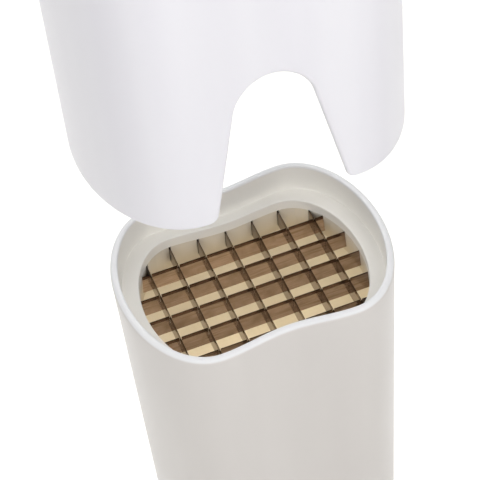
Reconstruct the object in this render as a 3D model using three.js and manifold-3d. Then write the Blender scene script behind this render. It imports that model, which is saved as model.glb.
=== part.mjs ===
// French fry cutter: a hand press in two loose halves. The base is a tall oval tube, open at
// both ends, with a crossed blade grid sunk below its rim. The pusher is a deep cap that
// telescopes down over the outside of the base and drives the food through the blades with
// a block of square pegs, one for each cell. It is shown lifted off, above the base.
//
// Millimetres, +Z up. The origin is the middle of the face that the base stands on. X runs
// along the long blades, and Y runs from the front to the back.

import * as THREE from 'three';
import { mergeVertices } from 'three/addons/utils/BufferGeometryUtils.js';
import Module from 'manifold-3d';

const wasm = await Module();
wasm.setup();

// Base housing
const rimHalfWidth = 46.2;
const rimHalfDepth = 36.2;
const shoulderX = 23.1;          // where the round ends meet the long sides
const sideDent = 2.2;            // how far the middle of a long side is drawn in
const baseHeight = 130;
const baseWall = 2.6;
const baseDraft = 2.1;           // how much narrower each side is at the foot
const rimOuterRound = 1.8;
const rimInnerRound = 0.6;
const footRound = 0.7;

// Ledge and throat inside the rim
const ledgeDepth = 11;
const ledgeThickness = 3.9;
const ledgeRound = 0.8;
const recessFillet = 0.9;        // where the rim's inner wall meets the ledge
const throatHalfWidth = 38;
const throatHalfDepth = 28.7;
const throatShoulderX = 20.2;
const throatDent = 1.4;

// Blade grid
const bladePitch = 10;
const longBladeCount = 5;
const crossBladeCount = 7;
const bladeThickness = 0.6;
const bladeHeight = 7.5;
const bladeBevel = 1.3;
const bladeEdge = 0.12;
const bladeSink = 4.2;           // blade edges below the top of the ledge
const lapClearance = 0.1;
const bladeSeat = 2.5;           // how far a blade's ends reach into the frame

// Blade frame and its screws
const frameHeight = 10.5;
const frameClearance = 0.4;
const frameFlange = 3;
const frameDraft = 0.6;          // how much wider its opening is at the bottom, on each side
const seatClearance = 0.15;
const frameScrewAngle = 52;      // degrees round each end from the long axis
const frameBossRadius = 2.1;
const bossClearance = 0.3;

// Pusher housing
const pusherWall = 2.4;
const pusherMouthClearance = 1.6;
const pusherTopClearance = 0.8;
const skirtDepth = 115;
const pusherTopWall = 3;
const pusherCrown = 3.5;
const pusherShoulderRound = 9;
const mouthRound = 1;
const notchHalfWidth = 20;
const notchDepth = 46;
const notchRadius = 12;
const notchCornerRadius = 3;

// Pusher plate with its pegs
const plateThickness = 3;
const plateClearance = 1.6;
const plateBossHeight = 5;
const plateBossRadius = 3.6;
const pegClearance = 0.5;
const pegThroatClearance = 0.8;
const pegReachPastEdge = 6;
const pegCounterbore = 5.8;

// Screws
const screwRadius = 1.1;
const screwHeadRadius = 2.1;
const screwHeadHeight = 1.6;
const screwBite = 5.5;
const screwHoleClearance = 0.2;
const screwHoleRelief = 0.5;     // how much deeper a hole is than its screw
const headFlatShare = 0.62;      // of the head's radius, flat on top
const headSideShare = 0.55;      // of the head's height, upright at the side

// Where the loose pusher is held above the rim, and the gap left at the end of its stroke
const pusherLift = 65;
const strokeEndGap = 0.3;

// Facets
const endArcSteps = 20;
const longSideSteps = 10;
const roundSteps = 3;
const screwSides = 16;
const boreSides = 16;
const notchSteps = 10;
const overrun = 1;

// The crown of the pusher's top: how wide each ring is, and how far it has risen
const crownShares = [[0.75, 0.45], [0.45, 0.82], [0.15, 1]];

// The hole that takes a screw, and heights that follow
const screwHoleRadius = screwRadius + screwHoleClearance;
const ledgeTop = baseHeight - ledgeDepth;
const ledgeUnderside = ledgeTop - ledgeThickness;
const bladeTop = ledgeTop - bladeSink;
const bladeBottom = bladeTop - bladeHeight;
const frameTop = ledgeUnderside;
const frameBottom = frameTop - frameHeight;
const mouthZ = baseHeight + pusherLift;
const skirtTop = mouthZ + skirtDepth;
const plateTop = skirtTop - plateBossHeight;
const plateBottom = plateTop - plateThickness;
const pegTip = skirtTop - (ledgeDepth + bladeSink + pegReachPastEdge + strokeEndGap);

// Colours and finishes
const finish = {
  housing: { color: 0xe9e8ea, roughness: 0.22, metalness: 0 },
  pusher: { color: 0xececf4, roughness: 0.2, metalness: 0 },
  frame: { color: 0xe2e2df, roughness: 0.35, metalness: 0 },
  plate: { color: 0xe4e4ea, roughness: 0.35, metalness: 0 },
  blade: { color: 0xa79c90, roughness: 0.25, metalness: 1 },
  screw: { color: 0xb9bbbd, roughness: 0.3, metalness: 1 },
};

const part = new THREE.Group();

function add(name, geometry, look, x = 0, y = 0, z = 0) {
  const mesh = new THREE.Mesh(geometry, new THREE.MeshStandardMaterial(finish[look]));
  mesh.name = name;
  mesh.position.set(x, y, z);
  part.add(mesh);
}

// The booleans
function toSolid(geometry) {
  const plain = geometry.clone();
  plain.deleteAttribute('normal');
  plain.deleteAttribute('uv');
  const merged = mergeVertices(plain);
  return new wasm.Manifold(new wasm.Mesh({
    numProp: 3,
    vertProperties: new Float32Array(merged.attributes.position.array),
    triVerts: new Uint32Array(merged.index.array),
  }));
}

function toGeometry(solid) {
  const mesh = solid.getMesh();
  const geometry = new THREE.BufferGeometry();
  geometry.setAttribute('position', new THREE.BufferAttribute(mesh.vertProperties, mesh.numProp));
  geometry.setIndex(new THREE.BufferAttribute(mesh.triVerts, 1));
  geometry.computeVertexNormals();
  return geometry;
}

function post(radius, bottom, top, x, y, sides = boreSides) {
  const geometry = new THREE.CylinderGeometry(radius, radius, top - bottom, sides);
  geometry.rotateX(Math.PI / 2);
  geometry.translate(x, y, (bottom + top) / 2);
  return toSolid(geometry);
}

function block(x0, x1, y0, y1, z0, z1) {
  const geometry = new THREE.BoxGeometry(x1 - x0, y1 - y0, z1 - z0);
  geometry.translate((x0 + x1) / 2, (y0 + y1) / 2, (z0 + z1) / 2);
  return toSolid(geometry);
}

// The plan: two half-ellipse ends joined by long sides that are drawn in a little
function shellPlan(inset) {
  return {
    halfWidth: rimHalfWidth - inset,
    halfDepth: rimHalfDepth - inset,
    shoulder: shoulderX,
    dent: sideDent,
  };
}

function throatPlan(inset) {
  return {
    halfWidth: throatHalfWidth - inset,
    halfDepth: throatHalfDepth - inset,
    shoulder: throatShoulderX,
    dent: throatDent,
  };
}

function scaledPlan(plan, share) {
  return {
    halfWidth: plan.halfWidth * share,
    halfDepth: plan.halfDepth * share,
    shoulder: plan.shoulder * share,
    dent: plan.dent * share,
  };
}

// How far out a long side lies at x
function longSideY({ halfDepth, shoulder, dent }, x) {
  return halfDepth - (dent * (1 + Math.cos((Math.PI * x) / shoulder))) / 2;
}

function planPoints(plan) {
  const { halfWidth, halfDepth, shoulder } = plan;
  const halfRound = [];
  for (let i = 0; i <= endArcSteps; i++) {
    const angle = Math.PI * (i / endArcSteps - 1 / 2);
    halfRound.push([shoulder + (halfWidth - shoulder) * Math.cos(angle), halfDepth * Math.sin(angle)]);
  }
  for (let i = 1; i < longSideSteps; i++) {
    const x = shoulder * (1 - (2 * i) / longSideSteps);
    halfRound.push([x, longSideY(plan, x)]);
  }
  return [...halfRound, ...halfRound.map(([x, y]) => [-x, -y])];
}

// Half the width of the throat at one depth, and half its depth at one width
function throatReachX(y) {
  const { halfWidth, halfDepth, shoulder } = throatPlan(0);
  return shoulder + (halfWidth - shoulder) * Math.sqrt(1 - (y / halfDepth) ** 2);
}

function throatReachY(x) {
  const plan = throatPlan(0);
  const past = Math.abs(x) - plan.shoulder;
  if (past < 0) return longSideY(plan, x);
  return plan.halfDepth * Math.sqrt(1 - (past / (plan.halfWidth - plan.shoulder)) ** 2);
}

// A skin over rings of the plan, one ring for each station [plan, z]. A closed skin runs
// from the last ring back to the first, as a tube's wall does; an open one gets flat ends.
function skin(stations, closed) {
  const positions = [];
  const faces = [];
  const rings = stations.map(([plan, z]) => {
    const first = positions.length / 3;
    const points = planPoints(plan);
    points.forEach(([x, y]) => positions.push(x, y, z));
    return { first, count: points.length, z };
  });
  const count = rings[0].count;
  const spans = closed ? rings.length : rings.length - 1;
  for (let k = 0; k < spans; k++) {
    const low = rings[k].first;
    const high = rings[(k + 1) % rings.length].first;
    for (let i = 0; i < count; i++) {
      const next = (i + 1) % count;
      faces.push(low + i, low + next, high + next, low + i, high + next, high + i);
    }
  }
  if (!closed) {
    const start = positions.length / 3;
    positions.push(0, 0, rings[0].z);
    const end = positions.length / 3;
    positions.push(0, 0, rings.at(-1).z);
    for (let i = 0; i < count; i++) {
      const next = (i + 1) % count;
      faces.push(start, rings[0].first + next, rings[0].first + i);
      faces.push(end, rings.at(-1).first + i, rings.at(-1).first + next);
    }
  }
  const geometry = new THREE.BufferGeometry();
  geometry.setAttribute('position', new THREE.BufferAttribute(new Float32Array(positions), 3));
  geometry.setIndex(faces);
  geometry.computeVertexNormals();
  return geometry;
}

// Stations of a rounded edge, from one angle to another about a centre [inset, z]
function roundStations(makePlan, radius, inset, z, fromAngle, toAngle) {
  const stations = [];
  const steps = Math.round((roundSteps * Math.abs(toAngle - fromAngle)) / (Math.PI / 2));
  for (let i = 0; i <= steps; i++) {
    const angle = fromAngle + ((toAngle - fromAngle) * i) / steps;
    stations.push([makePlan(inset - radius * Math.cos(angle)), z + radius * Math.sin(angle)]);
  }
  return stations;
}

const cornerSigns = [[-1, -1], [1, -1], [1, 1], [-1, 1]];

// How far each face of the base's wall lies inside the rim's outline at a height
function outsideInset(z) {
  return baseDraft * (1 - z / baseHeight);
}

function insideInset(z) {
  return outsideInset(z) + baseWall;
}

// The frame's screws stand midway between the throat and the wall, round each end
function frameScrewPlace(sx, sy) {
  const angle = THREE.MathUtils.degToRad(frameScrewAngle);
  const plans = [throatPlan(0), shellPlan(insideInset(frameBottom))];
  const xs = plans.map(({ halfWidth, shoulder }) => shoulder + (halfWidth - shoulder) * Math.cos(angle));
  const ys = plans.map(({ halfDepth }) => halfDepth * Math.sin(angle));
  return [(sx * (xs[0] + xs[1])) / 2, (sy * (ys[0] + ys[1])) / 2];
}

function baseHousing() {
  const filletInset = insideInset(ledgeTop) + recessFillet;
  const wall = skin([
    ...roundStations(shellPlan, footRound, outsideInset(0) + footRound, footRound, -Math.PI / 2, 0),
    ...roundStations(shellPlan, rimOuterRound, rimOuterRound, baseHeight - rimOuterRound, 0, Math.PI / 2),
    ...roundStations(
      shellPlan, rimInnerRound, baseWall - rimInnerRound, baseHeight - rimInnerRound, Math.PI / 2, Math.PI,
    ),
    ...roundStations(shellPlan, recessFillet, filletInset, ledgeTop + recessFillet, 0, -Math.PI / 2),
    ...roundStations(throatPlan, ledgeRound, -ledgeRound, ledgeTop - ledgeRound, Math.PI / 2, Math.PI),
    [throatPlan(0), ledgeUnderside],
    [shellPlan(insideInset(ledgeUnderside)), ledgeUnderside],
    [shellPlan(insideInset(0)), 0],
  ], true);
  let housing = toSolid(wall);
  const bossBottom = frameBottom + frameFlange + seatClearance;
  for (const [sx, sy] of cornerSigns) {
    const [x, y] = frameScrewPlace(sx, sy);
    housing = housing.add(post(frameBossRadius, bossBottom, ledgeTop - ledgeThickness / 2, x, y));
  }
  for (const [sx, sy] of cornerSigns) {
    const [x, y] = frameScrewPlace(sx, sy);
    const holeTop = frameBottom + frameFlange + screwBite + screwHoleRelief;
    housing = housing.subtract(post(screwHoleRadius, bossBottom - overrun, holeTop, x, y));
  }
  return toGeometry(housing);
}

// The ring under the ledge that holds the blades by their ends
function bladeFrame(longRows, crossRows) {
  const outer = shellPlan(insideInset(frameBottom) + frameClearance);
  const wall = skin([
    [outer, frameBottom],
    [outer, frameTop],
    [throatPlan(0), frameTop],
    [throatPlan(-frameDraft), frameBottom],
  ], true);
  let frame = toSolid(wall);
  const slotHalf = bladeThickness / 2 + lapClearance;
  const slotTop = frameTop + overrun;
  for (const { place, reach } of longRows) {
    const end = reach + bladeSeat + seatClearance;
    frame = frame.subtract(block(-end, end, place - slotHalf, place + slotHalf, bladeBottom, slotTop));
  }
  for (const { place, reach } of crossRows) {
    const end = reach + bladeSeat + seatClearance;
    frame = frame.subtract(block(place - slotHalf, place + slotHalf, -end, end, bladeBottom, slotTop));
  }
  for (const [sx, sy] of cornerSigns) {
    const [x, y] = frameScrewPlace(sx, sy);
    frame = frame.subtract(post(frameBossRadius + bossClearance, frameBottom + frameFlange, slotTop, x, y));
    frame = frame.subtract(post(screwHoleRadius, frameBottom - overrun, frameTop, x, y));
  }
  return toGeometry(frame);
}

// A blade lies along +X from its middle, with its edge up. Half-lap slots let the two sets
// stand at one height: the long blades are slotted from above, the cross blades from below.
function blade(reach, crossings, slottedFromAbove) {
  const half = reach + bladeSeat;
  const slotHalf = bladeThickness / 2 + lapClearance;
  const lap = bladeHeight / 2 + lapClearance / 2;
  const slots = crossings.filter((x) => Math.abs(x) < reach).sort((a, b) => a - b);
  const outline = new THREE.Shape();
  const plain = slottedFromAbove ? 0 : bladeHeight;
  const toothed = bladeHeight - plain;
  const deep = slottedFromAbove ? bladeHeight - lap : lap;
  outline.moveTo(-half, plain);
  outline.lineTo(-half, toothed);
  for (const x of slots) {
    outline.lineTo(x - slotHalf, toothed);
    outline.lineTo(x - slotHalf, deep);
    outline.lineTo(x + slotHalf, deep);
    outline.lineTo(x + slotHalf, toothed);
  }
  outline.lineTo(half, toothed);
  outline.lineTo(half, plain);
  outline.closePath();
  const comb = new THREE.ExtrudeGeometry(outline, { depth: bladeThickness, bevelEnabled: false });
  comb.rotateX(Math.PI / 2);
  comb.translate(0, bladeThickness / 2, 0);

  const section = new THREE.Shape();
  const side = bladeThickness;
  const grind = bladeBevel / ((bladeThickness - bladeEdge) / 2);
  const shoulder = bladeHeight - grind * (side - bladeEdge / 2);
  section.moveTo(-side, -overrun);
  section.lineTo(side, -overrun);
  section.lineTo(side, shoulder);
  section.lineTo(bladeEdge / 2, bladeHeight);
  section.lineTo(-bladeEdge / 2, bladeHeight);
  section.lineTo(-side, shoulder);
  section.closePath();
  const ground = new THREE.ExtrudeGeometry(section, { depth: 2 * (half + overrun), bevelEnabled: false });
  ground.rotateX(Math.PI / 2);
  ground.rotateZ(Math.PI / 2);
  ground.translate(-half - overrun, 0, 0);
  return toGeometry(toSolid(comb).intersect(toSolid(ground)));
}

// A pan-head self-tapping screw, head down, with the underside of its head at z = 0
function screw(grip) {
  const tip = grip + screwBite;
  const profile = [
    [0, -screwHeadHeight],
    [screwHeadRadius * headFlatShare, -screwHeadHeight],
    [screwHeadRadius, -screwHeadHeight * headSideShare],
    [screwHeadRadius, 0],
    [screwRadius, 0],
    [screwRadius, tip - screwRadius],
    [0, tip],
  ].map(([r, z]) => new THREE.Vector2(r, z));
  const geometry = new THREE.LatheGeometry(profile, screwSides);
  geometry.rotateX(Math.PI / 2);
  return toGeometry(toSolid(geometry));
}

// The finger notch of the pusher: straight sides that lean in to a round top, with the
// corners at the mouth rounded over. The solid runs right through the housing along Y.
function notch() {
  const rise = notchDepth - notchRadius;
  const lean = Math.acos(notchRadius / Math.hypot(notchHalfWidth, rise)) - Math.atan2(rise, notchHalfWidth);
  const tangent = notchCornerRadius / Math.tan((Math.PI / 2 + lean) / 2);
  const corner = notchHalfWidth + tangent;
  const shape = new THREE.Shape();
  shape.moveTo(-corner, -overrun);
  shape.lineTo(corner, -overrun);
  shape.lineTo(corner, 0);
  shape.absarc(corner, notchCornerRadius, notchCornerRadius, -Math.PI / 2, -Math.PI + lean, true);
  shape.absarc(0, rise, notchRadius, lean, Math.PI - lean, false);
  shape.absarc(-corner, notchCornerRadius, notchCornerRadius, -lean, -Math.PI / 2, true);
  shape.closePath();
  const depth = 2 * (rimHalfDepth + pusherMouthClearance + pusherWall + overrun);
  const options = { depth, bevelEnabled: false, curveSegments: notchSteps };
  const geometry = new THREE.ExtrudeGeometry(shape, options);
  geometry.rotateX(Math.PI / 2);
  geometry.translate(0, depth / 2, mouthZ);
  return toSolid(geometry);
}

function pusherHousing() {
  const mouthInset = -pusherMouthClearance;
  const topInset = -pusherTopClearance;
  const outerTop = skirtTop + pusherTopWall;
  const lip = mouthRound;
  const crownRim = topInset - pusherWall + pusherShoulderRound;
  const crownStations = crownShares.map(([share, riseShare]) => [
    scaledPlan(shellPlan(crownRim), share),
    outerTop + pusherCrown * riseShare,
  ]);
  const wall = skin([
    [shellPlan(topInset), skirtTop],
    [shellPlan(mouthInset), mouthZ + lip],
    ...roundStations(shellPlan, lip, mouthInset - lip, mouthZ + lip, Math.PI, 3 * Math.PI / 2).slice(1),
    ...roundStations(shellPlan, lip, mouthInset - pusherWall + lip, mouthZ + lip, -Math.PI / 2, 0),
    ...roundStations(
      shellPlan, pusherShoulderRound, crownRim, outerTop - pusherShoulderRound, 0, Math.PI / 2,
    ),
    ...crownStations,
  ], false);
  let housing = toSolid(wall).subtract(notch());
  for (const [sx, sy] of cornerSigns) {
    const [x, y] = plateScrewPlace(sx, sy);
    housing = housing.add(post(plateBossRadius, plateTop, skirtTop + pusherTopWall / 2, x, y));
  }
  for (const [sx, sy] of cornerSigns) {
    const [x, y] = plateScrewPlace(sx, sy);
    const holeTop = plateTop + screwBite + screwHoleRelief;
    housing = housing.subtract(post(screwHoleRadius, plateTop - overrun, holeTop, x, y));
  }
  return toGeometry(housing);
}

// The pegs stand in the middle of the cells. Those at the edge are trimmed to the throat.
function pusherPlate() {
  const peg = (bladePitch - bladeThickness) / 2 - pegClearance;
  const columns = cellPlaces(crossBladeCount);
  const rows = cellPlaces(longBladeCount);
  const nudge = bladePitch / 4;
  let pegs = null;
  for (const x of columns) {
    for (const y of rows) {
      const nearX = Math.max(0, Math.abs(x) - nudge);
      const nearY = Math.max(0, Math.abs(y) - nudge);
      if (nearX > throatReachX(nearY) - pegThroatClearance) continue;
      const one = block(x - peg, x + peg, y - peg, y + peg, pegTip, plateBottom + plateThickness / 2);
      pegs = pegs ? pegs.add(one) : one;
    }
  }
  const room = throatPlan(pegThroatClearance);
  const trimmed = pegs.intersect(toSolid(skin([[room, pegTip - overrun], [room, plateTop]], false)));
  const flange = shellPlan(baseWall + plateClearance);
  let plate = trimmed.add(toSolid(skin([[flange, plateBottom], [flange, plateTop]], false)));
  for (const [sx, sy] of cornerSigns) {
    const [x, y] = plateScrewPlace(sx, sy);
    plate = plate.subtract(post(screwHoleRadius, plateBottom - overrun, plateTop + overrun, x, y));
    plate = plate.subtract(post(pegCounterbore / 2, pegTip - overrun, plateBottom, x, y));
  }
  return toGeometry(plate);
}

// Places of the blades, and of the cells between and outside them, about the middle
function bladePlaces(count) {
  return Array.from({ length: count }, (_, i) => (i - (count - 1) / 2) * bladePitch);
}

function cellPlaces(count) {
  return Array.from({ length: count + 1 }, (_, i) => (i - count / 2) * bladePitch);
}

// The plate's screws sit in the bores of the pegs one in from the ends of their rows
function plateScrewPlace(sx, sy) {
  return [(sx * (crossBladeCount - 2) * bladePitch) / 2, (sy * (longBladeCount - 2) * bladePitch) / 2];
}

const longRows = bladePlaces(longBladeCount).map((y) => ({ place: y, reach: throatReachX(y) }));
const crossRows = bladePlaces(crossBladeCount).map((x) => ({ place: x, reach: throatReachY(x) }));
const longPlaces = longRows.map(({ place }) => place);
const crossPlaces = crossRows.map(({ place }) => place);

add('base_housing', baseHousing(), 'housing');
add('blade_frame', bladeFrame(longRows, crossRows), 'frame');

longRows.forEach(({ place, reach }, i) => {
  add(`long_blade_${i + 1}`, blade(reach, crossPlaces, true), 'blade', 0, place, bladeBottom);
});

crossRows.forEach(({ place, reach }, i) => {
  const geometry = blade(reach, longPlaces, false);
  geometry.rotateZ(Math.PI / 2);
  add(`cross_blade_${i + 1}`, geometry, 'blade', place, 0, bladeBottom);
});

cornerSigns.forEach(([sx, sy], i) => {
  const [x, y] = frameScrewPlace(sx, sy);
  add(`frame_screw_${i + 1}`, screw(frameFlange), 'screw', x, y, frameBottom);
});

add('pusher_housing', pusherHousing(), 'pusher');
add('pusher_plate', pusherPlate(), 'plate');

cornerSigns.forEach(([sx, sy], i) => {
  const [x, y] = plateScrewPlace(sx, sy);
  add(`plate_screw_${i + 1}`, screw(plateThickness), 'screw', x, y, plateBottom);
});

export default part;
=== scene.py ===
"""French fry cutter: an oval base with a sunken blade grid, and a deep cap that presses over it.

Metres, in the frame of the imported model: the base stands on z = 0, X runs along the long
blades, Y runs from the front to the back, and the cap rides above the base on its press axis.
"""

import math

import bpy
from mathutils import Matrix, Vector

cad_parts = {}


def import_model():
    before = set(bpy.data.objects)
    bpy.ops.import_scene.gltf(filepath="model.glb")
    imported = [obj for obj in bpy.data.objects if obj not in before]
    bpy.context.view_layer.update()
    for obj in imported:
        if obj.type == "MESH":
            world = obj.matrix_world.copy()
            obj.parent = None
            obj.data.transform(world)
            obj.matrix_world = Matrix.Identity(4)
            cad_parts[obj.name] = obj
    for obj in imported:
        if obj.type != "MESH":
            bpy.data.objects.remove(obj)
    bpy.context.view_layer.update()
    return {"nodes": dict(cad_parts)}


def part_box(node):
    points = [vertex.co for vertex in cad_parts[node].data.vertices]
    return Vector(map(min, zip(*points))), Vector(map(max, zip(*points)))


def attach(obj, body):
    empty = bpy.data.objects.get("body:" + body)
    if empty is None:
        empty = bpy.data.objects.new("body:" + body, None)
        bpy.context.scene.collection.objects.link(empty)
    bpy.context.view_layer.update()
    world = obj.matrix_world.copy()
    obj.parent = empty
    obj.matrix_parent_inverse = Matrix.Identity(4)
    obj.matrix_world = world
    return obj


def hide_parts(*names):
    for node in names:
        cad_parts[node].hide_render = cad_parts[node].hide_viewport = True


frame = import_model()

MM = 0.001

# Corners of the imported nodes, which the shapes, the finishes and the camera refer to
_, BASE_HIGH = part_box("base_housing")
CAP_LOW, CAP_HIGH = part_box("pusher_housing")
FRAME_LOW, FRAME_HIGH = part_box("blade_frame")
_, PLATE_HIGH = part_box("pusher_plate")
_, BLADE_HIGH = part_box("long_blade_1")

# Base housing
SHOULDER_X = 23.1 * MM
SIDE_DENT = 2.2 * MM
BASE_WALL = 2.6 * MM
BASE_DRAFT = 2.1 * MM
RIM_OUTER_ROUND = 1.8 * MM
RIM_INNER_ROUND = 0.6 * MM
FOOT_ROUND = 0.7 * MM
LEDGE_DEPTH = 11 * MM
LEDGE_THICKNESS = BASE_HIGH.z - LEDGE_DEPTH - FRAME_HIGH.z
LEDGE_ROUND = 0.4 * MM
RECESS_FILLET = 0.15 * MM
THROAT_HALF_WIDTH = 38 * MM
THROAT_HALF_DEPTH = 28.7 * MM
THROAT_SHOULDER_X = 20.2 * MM
THROAT_DENT = 1.4 * MM
BOSS_RADIUS = 2.1 * MM
BOSS_BORE = 1.3 * MM
FRAME_FLANGE = 3 * MM
SEAT_CLEARANCE = 0.15 * MM

# Cap
CAP_WALL = 2.4 * MM
CAP_TOP_CLEARANCE = 0.8 * MM
CAP_TOP_WALL = 3 * MM
CAP_CROWN = 3.5 * MM
CAP_SHOULDER_ROUND = 9 * MM
CAP_INNER_ROUND = 3 * MM
CAP_LIP = 1.1 * MM
NOTCH_HALF_WIDTH = 20 * MM
NOTCH_DEPTH = 46 * MM
NOTCH_RADIUS = 12 * MM
NOTCH_CORNER = 3 * MM
CEILING_SCALES = 0.25, 0.5, 0.75
PLATE_BOSS_RADIUS = 3.6 * MM
PLATE_EDGE_ROUND = 0.25 * MM

# Screws
SCREW_CORE = 0.82 * MM
SCREW_CREST = 1.1 * MM
SCREW_PITCH = 0.9 * MM
SCREW_HEAD_RADIUS = 2.1 * MM
SCREW_HEAD_HEIGHT = 1.6 * MM
SCREW_HEAD_FLANK = 0.35
SCREW_HEAD_SPREAD = 0.6
SCREW_HEAD_FALL = 1.2
SCREW_TIP_SHARE = 0.15
THREAD_SHARPNESS = 5
RECESS_REACH = 1.15 * MM
RECESS_HALF_WIDTH = 0.3 * MM
RECESS_DEPTH = 0.9 * MM
RECESS_FLOOR_REACH = 0.35
RECESS_FLOOR_WIDTH = 0.6
CUTTER_OVERSHOOT = 0.3 * MM

# Radii that stand for the axis where a ring can't shrink to a point
BORE_AXIS = 0.05 * MM
SCREW_AXIS = 0.02 * MM

# Fineness
END_STEPS = 64
SIDE_STEPS = 52
QUARTER_STEPS = 6
BASE_WALL_STEPS = 24
RECESS_WALL_STEPS = 5
INNER_WALL_STEPS = 12
NOTCH_CORNER_STEPS = 10
NOTCH_SIDE_STEPS = 20
NOTCH_TOP_STEPS = 22
SKIRT_OUTER_STEPS = 24
SKIRT_INNER_STEPS = 20
CROWN_STEPS = 16
LATHE_STEPS = 48
THREAD_STEPS = 28
THREAD_ROWS_PER_TURN = 8
SCREW_HEAD_STEPS = 8
SHARP_ANGLE = math.radians(35)
NODE_SHARP_ANGLE = math.radians(30)
BEVEL_ANGLE = math.radians(40)

# Plastics: tone, shade, range of roughness
# The base, its inside and the cap are one white plastic in three tones: the base's darker tone is
# painted shade under the cap, the inside's paler, creamier tone is painted warm light, and the cap's
# paler, cooler tone is painted light from above
BASE_PLASTIC_PAINTED_SHADE = (0.77, 0.74, 0.715), (0.74, 0.71, 0.685), (0.29, 0.36)
INSIDE_PLASTIC_PAINTED_LIGHT = (0.94, 0.92, 0.87), (0.91, 0.89, 0.84), (0.29, 0.36)
CAP_PLASTIC_PAINTED_LIGHT = (0.94, 0.935, 0.98), (0.89, 0.88, 0.935), (0.3, 0.38)
# The frame's darker, warmer tone is painted warm shade deep inside the base
FRAME_PLASTIC_PAINTED_SHADE = (0.74, 0.69, 0.6), (0.7, 0.65, 0.56), (0.32, 0.42)
PLATE_PLASTIC = (0.82, 0.82, 0.85), (0.79, 0.79, 0.82), (0.32, 0.42)
# Painted highlight: a pale band along the top of the base's rim, on its outside and its inside
RIM_HIGHLIGHT_TONE = (0.95, 0.955, 0.965)
RIM_HIGHLIGHT_DEPTHS = 1.2 * MM, 0.6 * MM

# Detail of the plastics: noise scales in features per metre, the part of each noise that shows
# as a change, and the height of the orange peel
PLASTIC_DETAIL = 1
# Vertical streaks of tone: partly moulding flow marks, partly painted reflection streaks
FLOW_AND_REFLECTION_SCALE = 75
FLOW_AND_REFLECTION_STRETCH = (1, 1, 0.07)
FLOW_AND_REFLECTION_RANGE = 0.25, 0.75
GLOSS_SCALE = 25
GLOSS_RANGE = 0.2, 0.8
PEEL_SCALE = 650
PEEL_HEIGHT = 0.003 * MM

# Steels: tone, stain
# The blades are one steel: its brown tint is partly the steel's own stain and partly painted
# reflection of the warm inside of the base, and the cross blades' darker tone is painted shade
LONG_BLADE_STEEL_AND_PAINTED_REFLECTION = (0.46, 0.365, 0.325), (0.3, 0.235, 0.2)
CROSS_BLADE_STEEL_PAINTED_SHADE_AND_REFLECTION = (0.26, 0.205, 0.17), (0.17, 0.13, 0.11)
# Painted shade: a near-black band along the blades' top edge
EDGE_PAINTED_SHADE_TONE = (0.022, 0.017, 0.013)
EDGE_PAINTED_SHADE_DEPTHS = 0.3 * MM, 0.15 * MM
SCREW_STEEL = (0.62, 0.63, 0.64), (0.5, 0.5, 0.5)

# Detail of the steels, as above; the brush and the streaks run along the blade
STEEL_DETAIL = 3
BRUSH_SCALE = 3200
BRUSH_STRETCH = 0.01
BRUSH_RANGE = 0.3, 0.7
BRUSH_HEIGHT = 0.01 * MM
BRUSH_STRENGTH = 0.5
BLADE_ROUGHNESS = 0.1, 0.22
STREAK_SCALE = 1500
STREAK_STRETCH = 0.06
SPOT_SCALE = 160
STAIN_RANGE = 0.42, 0.68
PLATING_SCALE = 900
PLATING_RANGE = 0.3, 0.7
PLATING_ROUGHNESS = 0.28, 0.42

# Stage
BACKGROUND_TONE = (0.98, 0.99, 1, 1)
AMBIENT = 0.2
FLOOR_TONE = (0.8, 0.78, 0.74, 1)
FLOOR_GLOW = 0.75
FLOOR_HALF = 12


def lerp(a, b, share):
    return a + (b - a) * share


def spread(a, b, count):
    """count + 1 even values from a to b."""
    return [lerp(a, b, i / count) for i in range(count + 1)]


class Plan:
    """The plan of both housings: two half-ellipse ends, and long sides that are drawn in a little."""

    def __init__(self, half_width, half_depth, shoulder, dent):
        self.half_width = half_width
        self.half_depth = half_depth
        self.shoulder = shoulder
        self.dent = dent

    def end_point(self, angle):
        reach = self.half_width - self.shoulder
        return self.shoulder + reach * math.cos(angle), self.half_depth * math.sin(angle)

    def side_y(self, x):
        past = (abs(x) - self.shoulder) / (self.half_width - self.shoulder)
        if past > 0:
            return self.half_depth * math.sqrt(1 - past ** 2)
        return self.half_depth - self.dent * (1 + math.cos(math.pi * x / self.shoulder)) / 2


def shell_plan(inset):
    return Plan(BASE_HIGH.x - inset, BASE_HIGH.y - inset, SHOULDER_X, SIDE_DENT)


def throat_plan(inset):
    return Plan(THROAT_HALF_WIDTH - inset, THROAT_HALF_DEPTH - inset, THROAT_SHOULDER_X, THROAT_DENT)


def turned_about(half_ring):
    """A ring from its right half: the same points turned half a turn about the axis."""
    return half_ring + [(-x, -y, z) for x, y, z in half_ring]


def plan_ring(plan, z):
    half = [(*plan.end_point(angle), z) for angle in spread(-math.pi / 2, math.pi / 2, END_STEPS)]
    for x in spread(plan.shoulder, -plan.shoulder, SIDE_STEPS)[1:-1]:
        half.append((x, plan.side_y(x), z))
    return turned_about(half)


# Meshes
def loft(rings, closed, apexes=None):
    """Quads over rings of equal count. A closed loft meets itself; an open one runs to two apexes."""
    vertices = [point for ring in rings for point in ring]
    count = len(rings[0])
    faces = []
    for k in range(len(rings) if closed else len(rings) - 1):
        low = k * count
        high = (k + 1) % len(rings) * count
        for i in range(count):
            j = (i + 1) % count
            faces.append((low + i, low + j, high + j, high + i))
    if apexes:
        vertices += apexes
        first, last = len(vertices) - 2, len(vertices) - 1
        top = (len(rings) - 1) * count
        for i in range(count):
            j = (i + 1) % count
            faces.append((j, i, first))
            faces.append((top + i, top + j, last))
    return vertices, faces


def merged(*meshes):
    vertices, faces = [], []
    for some_vertices, some_faces in meshes:
        start = len(vertices)
        vertices += some_vertices
        faces += [tuple(start + i for i in face) for face in some_faces]
    return vertices, faces


def moved(mesh, offset):
    vertices, faces = mesh
    return [tuple(Vector(v) + Vector(offset)) for v in vertices], faces


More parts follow.
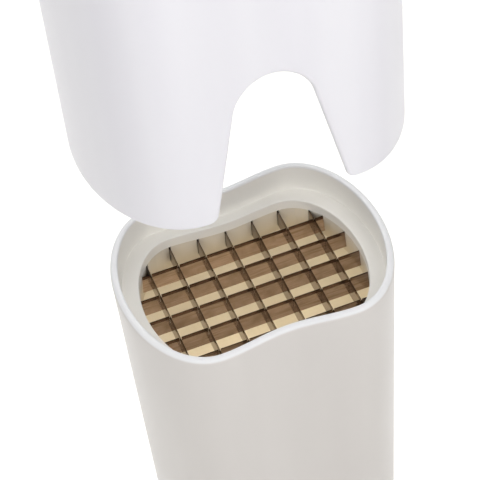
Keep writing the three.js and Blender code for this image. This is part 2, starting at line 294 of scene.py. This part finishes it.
def circle(radius, z, steps):
    turns = [2 * math.pi * i / steps for i in range(steps)]
    return [(radius * math.cos(a), radius * math.sin(a), z) for a in turns]


def lathe(profile):
    """A closed ring of the profile's points (radius, z) about Z; radii are above zero."""
    return loft([circle(radius, z, LATHE_STEPS) for radius, z in profile], True)


def mesh_data(name, mesh):
    vertices, faces = mesh
    data = bpy.data.meshes.new(name)
    data.from_pydata(vertices, [], faces)
    return data


def linked(name, data):
    """A new object of the data, in the scene."""
    piece = bpy.data.objects.new(name, data)
    bpy.context.scene.collection.objects.link(piece)
    return piece


def solid_piece(name, mesh, body, material):
    data = mesh_data(name, mesh)
    data.validate()
    data.shade_smooth()
    data.set_sharp_from_angle(angle=SHARP_ANGLE)
    data.materials.append(material)
    piece = linked(name, data)
    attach(piece, body)
    return piece


def round_stations(plan_of, radius, inset, z, start, end):
    """Stations (plan, z) round an edge, from one angle to another in degrees."""
    steps = max(1, round(QUARTER_STEPS * abs(end - start) / 90))
    stations = []
    for degrees in spread(start, end, steps):
        angle = math.radians(degrees)
        stations.append((plan_of(inset - radius * math.cos(angle)), z + radius * math.sin(angle)))
    return stations


def tube(outer, bore, bottom, top, roof):
    """A boss: a tube open at the bottom, with a blind bore that ends under its roof."""
    edge = (outer - bore) / 4
    profile = [
        (bore + edge, bottom), (outer - edge, bottom), (outer, bottom + edge), (outer, top),
        (BORE_AXIS, top), (BORE_AXIS, top - roof), (bore, top - roof), (bore, bottom + edge),
    ]
    return lathe(profile)


# Base
def outside_inset(z):
    return BASE_DRAFT * (1 - z / BASE_HIGH.z)


def inside_inset(z):
    return outside_inset(z) + BASE_WALL


def screw_centres(prefix):
    """Places (x, y) of the four screws of a kind, from their nodes."""
    centres = []
    for index in range(1, 5):
        low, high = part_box(f"{prefix}_{index}")
        centres.append(((low.x + high.x) / 2, (low.y + high.y) / 2))
    return centres


def base_shell(material, inside_material_painted_light):
    """The outer skin, rim, recess, ledge, throat and inner skin in one loft, and the screw bosses."""
    rim = BASE_HIGH.z
    ledge = rim - LEDGE_DEPTH
    under = ledge - LEDGE_THICKNESS
    fillet = inside_inset(ledge) + RECESS_FILLET
    foot = outside_inset(0) + FOOT_ROUND
    outer_top = rim - RIM_OUTER_ROUND
    inner_top = rim - RIM_INNER_ROUND
    outer_wall = spread(FOOT_ROUND, outer_top, BASE_WALL_STEPS)[1:-1]
    recess_wall = spread(inner_top, ledge + RECESS_FILLET, RECESS_WALL_STEPS)[1:-1]
    inner_wall = spread(under, 0, INNER_WALL_STEPS)
    stations = round_stations(shell_plan, FOOT_ROUND, foot, FOOT_ROUND, -90, 0)
    stations += [(shell_plan(outside_inset(z)), z) for z in outer_wall]
    stations += round_stations(shell_plan, RIM_OUTER_ROUND, RIM_OUTER_ROUND, outer_top, 0, 90)
    outer_stations = len(stations)
    inner_rim = BASE_WALL - RIM_INNER_ROUND
    stations += round_stations(shell_plan, RIM_INNER_ROUND, inner_rim, inner_top, 90, 180)
    stations += [(shell_plan(inside_inset(z)), z) for z in recess_wall]
    stations += round_stations(shell_plan, RECESS_FILLET, fillet, ledge + RECESS_FILLET, 0, -90)
    stations += round_stations(throat_plan, LEDGE_ROUND, -LEDGE_ROUND, ledge - LEDGE_ROUND, 90, 180)
    stations += [(throat_plan(0), under)]
    stations += [(shell_plan(inside_inset(z)), z) for z in inner_wall]
    rings = [plan_ring(plan, z) for plan, z in stations]
    wall = loft(rings, True)
    bosses = []
    boss_foot = FRAME_LOW.z + FRAME_FLANGE + SEAT_CLEARANCE
    for x, y in screw_centres("frame_screw"):
        boss = tube(BOSS_RADIUS, BOSS_BORE, boss_foot, ledge - LEDGE_THICKNESS / 2, LEDGE_THICKNESS)
        bosses.append(moved(boss, (x, y, 0)))
    piece = solid_piece("base_shell", merged(wall, *bosses), "base", material)
    # the inside takes the paler, creamier copy of the plastic, painted warm light
    piece.data.materials.append(inside_material_painted_light)
    for polygon in piece.data.polygons[outer_stations * len(rings[0]):]:
        polygon.material_index = 1
    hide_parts("base_housing")


# Cap
def notch_edge():
    """The notch's edge from the right end of the mouth to the left: (x, height, outward normal)."""
    rise = NOTCH_DEPTH - NOTCH_RADIUS
    lean = math.acos(NOTCH_RADIUS / math.hypot(NOTCH_HALF_WIDTH, rise))
    lean -= math.atan2(rise, NOTCH_HALF_WIDTH)
    corner_x = NOTCH_HALF_WIDTH + NOTCH_CORNER / math.tan((math.pi / 2 + lean) / 2)
    side = (math.cos(lean), math.sin(lean))
    edge = []
    for angle in spread(-math.pi / 2, -math.pi + lean, NOTCH_CORNER_STEPS):
        out = (math.cos(angle), math.sin(angle))
        x, height = corner_x + NOTCH_CORNER * out[0], NOTCH_CORNER * (1 + out[1])
        edge.append((x, height, (-out[0], -out[1])))
    start_x, start_height, _ = edge[-1]
    end_x, end_height = NOTCH_RADIUS * side[0], rise + NOTCH_RADIUS * side[1]
    for share in spread(0, 1, NOTCH_SIDE_STEPS)[1:-1]:
        edge.append((lerp(start_x, end_x, share), lerp(start_height, end_height, share), side))
    for angle in spread(lean, math.pi / 2, NOTCH_TOP_STEPS):
        out = (math.cos(angle), math.sin(angle))
        edge.append((NOTCH_RADIUS * out[0], rise + NOTCH_RADIUS * out[1], out))
    mirrored = [(-x, height, (-normal[0], normal[1])) for x, height, normal in reversed(edge[:-1])]
    return edge + mirrored


class CapWall:
    """The cap's wall as columns: those of a round end, and those that end at the notch."""

    def __init__(self):
        self.mouth = CAP_LOW.z
        self.mouth_inset = BASE_HIGH.x - CAP_HIGH.x
        self.top = CAP_HIGH.z - CAP_CROWN
        self.skirt_top = self.top - CAP_TOP_WALL
        self.round_z = self.top - CAP_SHOULDER_ROUND
        self.notch = notch_edge()
        start_x = self.notch[0][0]
        self.top_xs = spread(start_x, -start_x, len(self.notch) - 1)
        outer = shell_plan(self.mouth_inset)
        turn = math.acos((start_x - outer.shoulder) / (outer.half_width - outer.shoulder))
        self.end_angles = spread(-turn, turn, END_STEPS)[1:-1]

    def plan_at(self, z, share):
        """The plan at a height, a share of the way in from the outer face to the inner one."""
        outer_climb = (z - self.mouth) / (self.round_z - self.mouth)
        inner_climb = (z - self.mouth) / (self.skirt_top - self.mouth)
        outer = lerp(self.mouth_inset, -CAP_TOP_CLEARANCE - CAP_WALL, outer_climb)
        inner = lerp(self.mouth_inset + CAP_WALL, -CAP_TOP_CLEARANCE, inner_climb)
        return shell_plan(lerp(outer, inner, share))

    def skirt_ring(self, offset, share, climb):
        """A ring that stands off the lower edge, and climbs from there to the round of the top."""
        half = []
        for angle in self.end_angles:
            z = lerp(self.mouth + offset, self.round_z, climb)
            half.append((*self.plan_at(z, share).end_point(angle), z))
        for (edge_x, height, normal), top_x in zip(self.notch, self.top_xs):
            x = lerp(edge_x + normal[0] * offset, top_x, climb)
            z = lerp(self.mouth + height + normal[1] * offset, self.round_z, climb)
            half.append((x, self.plan_at(z, share).side_y(x), z))
        return turned_about(half)

    def top_ring(self, inset, z, scale=1.0):
        """A ring of the top, shrunk by a scale; the sides' dent fades towards the middle."""
        plan = shell_plan(inset)
        plan.dent *= scale ** 3
        half = [(*plan.end_point(angle), z) for angle in self.end_angles]
        half += [(x, plan.side_y(x), z) for x in self.top_xs]
        return turned_about([(x * scale, y * scale, z) for x, y, z in half])


def quarter(count=QUARTER_STEPS):
    return [(math.sin(a), math.cos(a)) for a in spread(0, math.pi / 2, count)]


def cap_rings(wall):
    rings = []
    ceiling = CAP_INNER_ROUND - CAP_TOP_CLEARANCE
    for scale in CEILING_SCALES:
        rings.append(wall.top_ring(ceiling, wall.skirt_top, scale))
    for sine, cosine in quarter():
        inset = ceiling - CAP_INNER_ROUND * sine
        rings.append(wall.top_ring(inset, wall.skirt_top - CAP_INNER_ROUND * (1 - cosine)))
    rings += [wall.skirt_ring(CAP_LIP, 1, climb) for climb in spread(1, 0, SKIRT_INNER_STEPS)[:-1]]
    for sine, cosine in reversed(quarter()):
        rings.append(wall.skirt_ring(CAP_LIP * (1 - cosine), 1 - CAP_LIP / CAP_WALL * (1 - sine), 0))
    for sine, cosine in quarter():
        rings.append(wall.skirt_ring(CAP_LIP * (1 - cosine), CAP_LIP / CAP_WALL * (1 - sine), 0))
    rings += [wall.skirt_ring(CAP_LIP, 0, climb) for climb in spread(0, 1, SKIRT_OUTER_STEPS)[1:-1]]
    crown_inset = CAP_SHOULDER_ROUND - CAP_TOP_CLEARANCE - CAP_WALL
    for sine, cosine in quarter(2 * QUARTER_STEPS):
        z = wall.round_z + CAP_SHOULDER_ROUND * sine
        rings.append(wall.top_ring(crown_inset - CAP_SHOULDER_ROUND * cosine, z))
    for scale in spread(1, 0, CROWN_STEPS)[1:-1]:
        rings.append(wall.top_ring(crown_inset, wall.top + CAP_CROWN * (1 - scale ** 2) ** 2, scale))
    return rings


def cap_shell(material):
    wall = CapWall()
    skin = loft(cap_rings(wall), False, [(0, 0, wall.skirt_top), (0, 0, CAP_HIGH.z)])
    bosses = []
    roof = CAP_TOP_WALL / 2
    for x, y in screw_centres("plate_screw"):
        boss = tube(PLATE_BOSS_RADIUS, BOSS_BORE, PLATE_HIGH.z, wall.skirt_top + roof, roof)
        bosses.append(moved(boss, (x, y, 0)))
    piece = solid_piece("cap_shell", merged(skin, *bosses), "pusher", material)
    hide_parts("pusher_housing")


# Screws
def screw_mesh(length):
    """A cross-head screw, head down: head from z = -height to 0, threaded shank up to its tip."""
    turns = length / SCREW_PITCH
    rows = round(turns * THREAD_ROWS_PER_TURN)
    rings = []
    for row in range(rows + 1):
        z = length * row / rows
        ring = []
        taper = min(1, (length - z) / (2 * SCREW_PITCH) + SCREW_TIP_SHARE)
        for step in range(THREAD_STEPS):
            angle = 2 * math.pi * step / THREAD_STEPS
            phase = (z / SCREW_PITCH - step / THREAD_STEPS) % 1
            crest = max(0, 1 - abs(phase - 0.5) * THREAD_SHARPNESS)
            radius = lerp(SCREW_CORE, SCREW_CREST, crest) * taper
            ring.append((radius * math.cos(angle), radius * math.sin(angle), z))
        rings.append(ring)
    head = []
    for share in spread(0, 1, SCREW_HEAD_STEPS):
        angle = share * math.pi / 2
        radius = SCREW_HEAD_RADIUS * math.sin(angle) ** SCREW_HEAD_SPREAD if share else SCREW_AXIS
        z = -SCREW_HEAD_HEIGHT * lerp(SCREW_HEAD_FLANK, 1, math.cos(angle) ** SCREW_HEAD_FALL)
        head.append((radius, z))
    head.append((SCREW_HEAD_RADIUS, 0))
    rings = [circle(radius, z, THREAD_STEPS) for radius, z in head] + rings
    return loft(rings, False, [(0, 0, -SCREW_HEAD_HEIGHT), (0, 0, length)])


def cross_cutter():
    """Two tapered wings that cross: the recess of the screw's head."""
    vertices, faces = [], []
    for turned in (False, True):
        start = len(vertices)
        for z, reach, half in (
            (-SCREW_HEAD_HEIGHT - CUTTER_OVERSHOOT, RECESS_REACH, RECESS_HALF_WIDTH),
            (-SCREW_HEAD_HEIGHT + RECESS_DEPTH, RECESS_REACH * RECESS_FLOOR_REACH,
             RECESS_HALF_WIDTH * RECESS_FLOOR_WIDTH),
        ):
            for x, y in ((-reach, -half), (reach, -half), (reach, half), (-reach, half)):
                vertices.append((-y, x, z) if turned else (x, y, z))
        faces += [tuple(start + i for i in face) for face in (
            (3, 2, 1, 0), (4, 5, 6, 7), (0, 1, 5, 4), (1, 2, 6, 5), (2, 3, 7, 6), (3, 0, 4, 7),
        )]
    return vertices, faces


def cut_by(piece, cutter_mesh):
    """Takes the cutter's shape out of the piece for good; the cutter doesn't stay."""
    cutter = linked("cutter", mesh_data("cutter", cutter_mesh))
    modifier = piece.modifiers.new("recess", "BOOLEAN")
    modifier.operation = "DIFFERENCE"
    modifier.solver = "EXACT"
    modifier.use_self = True
    modifier.object = cutter
    depsgraph = bpy.context.evaluated_depsgraph_get()
    result = bpy.data.meshes.new_from_object(piece.evaluated_get(depsgraph))
    piece.modifiers.clear()
    piece.data = result
    bpy.data.objects.remove(cutter)


def screws(prefix, body, material):
    for index, (x, y) in enumerate(screw_centres(prefix), start=1):
        low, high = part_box(f"{prefix}_{index}")
        seat = low.z + SCREW_HEAD_HEIGHT
        mesh = screw_mesh(high.z - seat)
        piece = solid_piece(f"{prefix}_fine_{index}", mesh, body, material)
        cut_by(piece, cross_cutter())
        piece.data.transform(Matrix.Translation((x, y, seat)))
        piece.data.set_sharp_from_angle(angle=SHARP_ANGLE)
        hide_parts(f"{prefix}_{index}")


# Materials
def socket_name(word):
    return word.replace("_", " ").title().replace("Ior", "IOR")


def maximum(tree, first, second):
    node = tree.nodes.new("ShaderNodeMath")
    node.operation = "MAXIMUM"
    tree.links.new(first, node.inputs[0])
    tree.links.new(second, node.inputs[1])
    return node.outputs["Value"]


class Finish:
    """A principled material with a few helpers for its nodes."""

    def __init__(self, name, **constants):
        self.material = bpy.data.materials.new(name)
        self.material.use_nodes = True
        self.tree = self.material.node_tree
        self.shader = self.tree.nodes["Principled BSDF"]
        for socket, value in constants.items():
            self.shader.inputs[socket_name(socket)].default_value = value
        self.place = self.tree.nodes.new("ShaderNodeTexCoord").outputs["Object"]

    def link(self, source, socket):
        self.tree.links.new(source, socket)

    def noise(self, scale, detail, stretch=(1, 1, 1)):
        mapping = self.tree.nodes.new("ShaderNodeMapping")
        mapping.inputs["Scale"].default_value = stretch
        self.link(self.place, mapping.inputs["Vector"])
        texture = self.tree.nodes.new("ShaderNodeTexNoise")
        texture.inputs["Scale"].default_value = scale
        texture.inputs["Detail"].default_value = detail
        self.link(mapping.outputs["Vector"], texture.inputs["Vector"])
        return texture.outputs["Fac"]

    def remap(self, source, low, high, to_low, to_high):
        node = self.tree.nodes.new("ShaderNodeMapRange")
        sockets = "From Min", "From Max", "To Min", "To Max"
        for socket, value in zip(sockets, (low, high, to_low, to_high)):
            node.inputs[socket].default_value = value
        self.link(source, node.inputs["Value"])
        return node.outputs["Result"]

    def blend(self, factor, first, second):
        node = self.tree.nodes.new("ShaderNodeMix")
        node.data_type = "RGBA"
        self.link(factor, node.inputs["Factor"])
        for socket, value in (("A", first), ("B", second)):
            target = next(i for i in node.inputs if i.name == socket and i.type == "RGBA")
            if isinstance(value, tuple):
                target.default_value = (*value, 1)
            else:
                self.link(value, target)
        return next(o for o in node.outputs if o.type == "RGBA")

    def axis(self, name):
        node = self.tree.nodes.new("ShaderNodeSeparateXYZ")
        self.link(self.place, node.inputs["Vector"])
        return node.outputs[name]

    def bump(self, height, distance, strength=1.0):
        node = self.tree.nodes.new("ShaderNodeBump")
        node.inputs["Distance"].default_value = distance
        node.inputs["Strength"].default_value = strength
        self.link(height, node.inputs["Height"])
        self.link(node.outputs["Normal"], self.shader.inputs["Normal"])


def moulded_plastic(name, tone, shade, roughness, edge=None, **constants):
    """Moulded plastic: flow marks that partly stand for painted reflection streaks, patches of duller
    gloss, orange peel, and perhaps a painted highlight along an edge.

    The edge is a painted highlight (tone, start, end): along Z from start to end the colour fades
    into that paler tone.
    """
    finish = Finish(name, **constants)
    # streaks of tone along Z, partly flow marks and partly painted reflection
    flow_and_reflection = finish.noise(FLOW_AND_REFLECTION_SCALE, PLASTIC_DETAIL, FLOW_AND_REFLECTION_STRETCH)
    flow_and_reflection = finish.remap(flow_and_reflection, *FLOW_AND_REFLECTION_RANGE, 0, 1)
    colour = finish.blend(flow_and_reflection, tone, shade)
    if edge:
        # painted highlight: along Z the colour fades into a paler tone towards the top
        highlight_tone, start, end = edge
        colour = finish.blend(finish.remap(finish.axis("Z"), start, end, 0, 1), colour, highlight_tone)
    finish.link(colour, finish.shader.inputs["Base Color"])
    gloss = finish.remap(finish.noise(GLOSS_SCALE, PLASTIC_DETAIL), *GLOSS_RANGE, *roughness)
    finish.link(gloss, finish.shader.inputs["Roughness"])
    finish.bump(finish.noise(PEEL_SCALE, PLASTIC_DETAIL), PEEL_HEIGHT)
    return finish.material


def blade_steel(name, along, tone, stain):
    """Rolled strip, brushed along its length, with painted shade along its top edge and a few water
    spots.
    """
    finish = Finish(name, metallic=1.0)

    def lengthwise(stretch):
        return (stretch, 1, 1) if along == "X" else (1, stretch, 1)

    brush = finish.noise(BRUSH_SCALE, STEEL_DETAIL, lengthwise(BRUSH_STRETCH))
    streaks = finish.noise(STREAK_SCALE, STEEL_DETAIL, lengthwise(STREAK_STRETCH))
    spots = maximum(finish.tree, finish.noise(SPOT_SCALE, STEEL_DETAIL), streaks)
    face = finish.blend(finish.remap(spots, *STAIN_RANGE, 0, 1), tone, stain)
    # painted shade: the top edge turns near black
    edge = [BLADE_HIGH.z - depth for depth in EDGE_PAINTED_SHADE_DEPTHS]
    edge_shade = finish.remap(finish.axis("Z"), *edge, 0, 1)
    finish.link(finish.blend(edge_shade, face, EDGE_PAINTED_SHADE_TONE), finish.shader.inputs["Base Color"])
    roughness = finish.remap(brush, *BRUSH_RANGE, *BLADE_ROUGHNESS)
    finish.link(roughness, finish.shader.inputs["Roughness"])
    finish.bump(brush, BRUSH_HEIGHT, BRUSH_STRENGTH)
    return finish.material


def plated_steel(name, tone, stain):
    """Plated steel with fine clouds in its colour and gloss."""
    finish = Finish(name, metallic=1.0)
    spots = finish.noise(PLATING_SCALE, STEEL_DETAIL)
    finish.link(finish.blend(spots, tone, stain), finish.shader.inputs["Base Color"])
    roughness = finish.remap(spots, *PLATING_RANGE, *PLATING_ROUGHNESS)
    finish.link(roughness, finish.shader.inputs["Roughness"])
    return finish.material


def dress_node(name, material, bevel=None):
    """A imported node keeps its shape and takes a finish, and softened edges where it needs them."""
    node = frame["nodes"][name]
    node.data.materials.clear()
    node.data.materials.append(material)
    node.data.shade_smooth()
    node.data.set_sharp_from_angle(angle=NODE_SHARP_ANGLE)
    if bevel:
        modifier = node.modifiers.new("edges", "BEVEL")
        modifier.width = bevel
        modifier.segments = 2
        modifier.limit_method = "ANGLE"
        modifier.angle_limit = BEVEL_ANGLE


# Stage
def camera():
    """The photo's camera: its angles, and the place of the blades' middle in its own axes."""
    azimuth, elevation, roll = (math.radians(angle) for angle in (-15.99, 47.62, -6.87))
    across, along, away = 4.81 * MM, -15.58 * MM, 567.53 * MM
    focal_pixels, frame_pixels = 1700, 480
    level = Vector((math.cos(azimuth), math.sin(azimuth), 0))
    back = Vector((0, 0, math.sin(elevation)))
    back += Vector((math.sin(azimuth), -math.cos(azimuth), 0)) * math.cos(elevation)
    rise = back.cross(level)
    right = level * math.cos(roll) + rise * math.sin(roll)
    up = rise * math.cos(roll) - level * math.sin(roll)
    place = Vector((0, 0, BLADE_HIGH.z)) - right * across - up * along + back * away
    data = bpy.data.cameras.new("camera")
    data.lens = data.sensor_width * focal_pixels / frame_pixels
    view = linked("camera", data)
    view.matrix_world = Matrix.Translation(place) @ Matrix((right, up, back)).transposed().to_4x4()
    bpy.context.scene.camera = view


def background_rays(tree):
    """One where the ray comes from the camera, a glossy surface or glass, and zero elsewhere."""
    path = tree.nodes.new("ShaderNodeLightPath")
    total = path.outputs["Is Camera Ray"]
    for ray in ("Is Glossy Ray", "Is Transmission Ray"):
        total = maximum(tree, total, path.outputs[ray])
    return total


def world():
    """White where it is the background, dim where it lights the object."""
    studio = bpy.data.worlds.new("studio")
    studio.use_nodes = True
    tree = studio.node_tree
    background = tree.nodes["Background"]
    background.inputs["Color"].default_value = BACKGROUND_TONE
    strength = tree.nodes.new("ShaderNodeMapRange")
    strength.inputs["To Min"].default_value = AMBIENT
    strength.inputs["To Max"].default_value = 1
    tree.links.new(background_rays(tree), strength.inputs["Value"])
    tree.links.new(strength.outputs["Result"], background.inputs["Strength"])
    bpy.context.scene.world = studio


def lamp(name, place, target, size, power, colour, hidden=False):
    """An area lamp turned to the target, unseen by the camera; a hidden one isn't mirrored either."""
    data = bpy.data.lights.new(name, "AREA")
    data.shape = "RECTANGLE"
    data.size, data.size_y = size
    data.energy = power
    data.color = colour
    light = linked(name, data)
    light.location = place
    light.rotation_euler = (Vector(target) - Vector(place)).to_track_quat("-Z", "Y").to_euler()
    light.visible_camera = False
    light.visible_glossy = not hidden


def lamps():
    """Soft boxes round the object, and two small warm lamps inside the base for its cells."""
    rim = (0, 0, BASE_HIGH.z)
    for name, place, size, power, colour in (
        ("key", (0.2, -0.42, 0.6), (0.35, 0.35), 1.42, (1, 0.99, 0.98)),
        ("fill", (-0.45, -0.4, 0.55), (0.4, 0.4), 1.3, (1, 1, 1)),
        ("low_front", (0.1, -0.7, 0.2), (0.5, 0.3), 0.7, (0.97, 0.97, 1)),
        ("right", (0.65, 0.05, 0.45), (0.35, 0.35), 0.3, (1, 1, 1)),
        ("left", (-0.65, 0.05, 0.45), (0.35, 0.35), 0.45, (1, 0.99, 0.97)),
        ("back", (0, 0.75, 0.6), (1.2, 0.9), 3.6, (1, 1, 1)),
        ("overhead", (0, 0, 1.1), (0.9, 0.9), 0.85, (1, 1, 1)),
    ):
        lamp(name, place, rim, size, power, colour)
    for name, height, power in (("foot", 4 * MM, 0.019), ("throat", 75 * MM, 0.004)):
        lamp(name, (0, 0, height), rim, (0.05, 0.04), power, (1, 0.81, 0.53), hidden=True)


def floor():
    """Pale and warm for the light that it sends back, white where it is the background."""
    half = FLOOR_HALF
    corners = [(-half, -half, 0), (half, -half, 0), (half, half, 0), (-half, half, 0)]
    data = mesh_data("floor", (corners, [(0, 1, 2, 3)]))
    finish = Finish(
        "floor", base_color=FLOOR_TONE, roughness=0.8, specular_ior_level=0.1,
        emission_color=(1, 1, 1, 1),
    )
    glow = finish.remap(background_rays(finish.tree), 0, 1, 0, FLOOR_GLOW)
    finish.link(glow, finish.shader.inputs["Emission Strength"])
    data.materials.append(finish.material)
    linked("floor", data)


def build():
    bpy.context.scene.view_settings.view_transform = "Standard"
    # a painted highlight along the top of the rim
    rim_highlight = (RIM_HIGHLIGHT_TONE, *(BASE_HIGH.z - depth for depth in RIM_HIGHLIGHT_DEPTHS))
    # one white plastic in lit and shaded copies: painted shade on the base, painted light on its
    # inside and on the cap
    base_white_painted_shade = moulded_plastic("base_white_painted_shade", *BASE_PLASTIC_PAINTED_SHADE, rim_highlight, specular_ior_level=0.3)
    inside_white_painted_light = moulded_plastic("inside_white_painted_light", *INSIDE_PLASTIC_PAINTED_LIGHT, rim_highlight, specular_ior_level=0.4)
    cap_white_painted_light = moulded_plastic("cap_white_painted_light", *CAP_PLASTIC_PAINTED_LIGHT, specular_ior_level=0.2)
    # painted warm shade: the frame takes a darker, warmer tone than the base's inside
    frame_white_painted_shade = moulded_plastic("frame_white_painted_shade", *FRAME_PLASTIC_PAINTED_SHADE)
    plate_white = moulded_plastic("plate_white", *PLATE_PLASTIC)
    screw_steel = plated_steel("screw_plated", *SCREW_STEEL)
    base_shell(base_white_painted_shade, inside_white_painted_light)
    cap_shell(cap_white_painted_light)
    dress_node("blade_frame", frame_white_painted_shade)
    dress_node("pusher_plate", plate_white, PLATE_EDGE_ROUND)
    # the cross blades take a darker copy of the steel, painted shade
    blades = ("long_blade", "X", LONG_BLADE_STEEL_AND_PAINTED_REFLECTION), ("cross_blade", "Y", CROSS_BLADE_STEEL_PAINTED_SHADE_AND_REFLECTION)
    for prefix, along, tones in blades:
        steel = blade_steel(f"{prefix}_steel", along, *tones)
        for name in frame["nodes"]:
            if name.startswith(prefix):
                dress_node(name, steel)
    screws("frame_screw", "base", screw_steel)
    screws("plate_screw", "pusher", screw_steel)
    camera()
    world()
    lamps()
    floor()


build()
